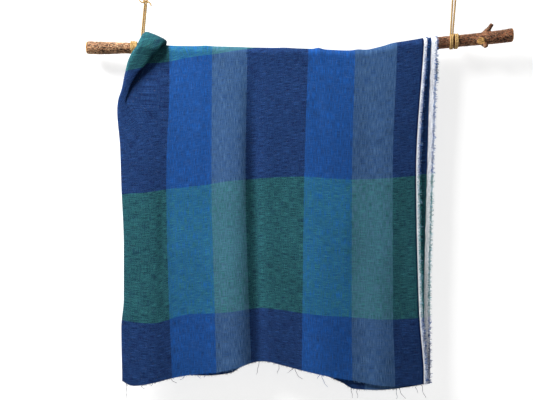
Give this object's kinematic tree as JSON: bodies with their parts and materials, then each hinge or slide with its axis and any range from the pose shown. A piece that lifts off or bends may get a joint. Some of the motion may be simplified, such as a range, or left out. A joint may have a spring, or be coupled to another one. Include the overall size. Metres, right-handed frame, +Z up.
{
  "type": "plaid linen cloth on a branch rod",
  "caption": "Cut length of plaid linen, folded selvage to selvage and draped over a natural branch rod that hangs in twine slings; raw hem with ravelled threads.",
  "frame": {"origin": "on the branch's axis, midway between the twine slings", "axes": "+X to the right along the branch, +Y away from the front towards the back drop, +Z up"},
  "size_m": [1.021, 0.0752, 0.9893],
  "materials": {
    "linen": "matte plain weave, washed",
    "ravelled_thread": "matte spun thread",
    "bark": "rough natural bark",
    "twine": "hairy twisted jute"
  },
  "bodies": {
    "root": {"cloth": "linen", "hem_threads": "ravelled_thread", "branch": "bark", "left_twine_wraps": "twine", "left_twine_strand_a": "twine", "left_twine_strand_b": "twine", "left_twine_knot": "twine", "right_twine_wraps": "twine", "right_twine_strand_a": "twine", "right_twine_strand_b": "twine", "right_twine_knot": "twine"}
  },
  "joints": []
}
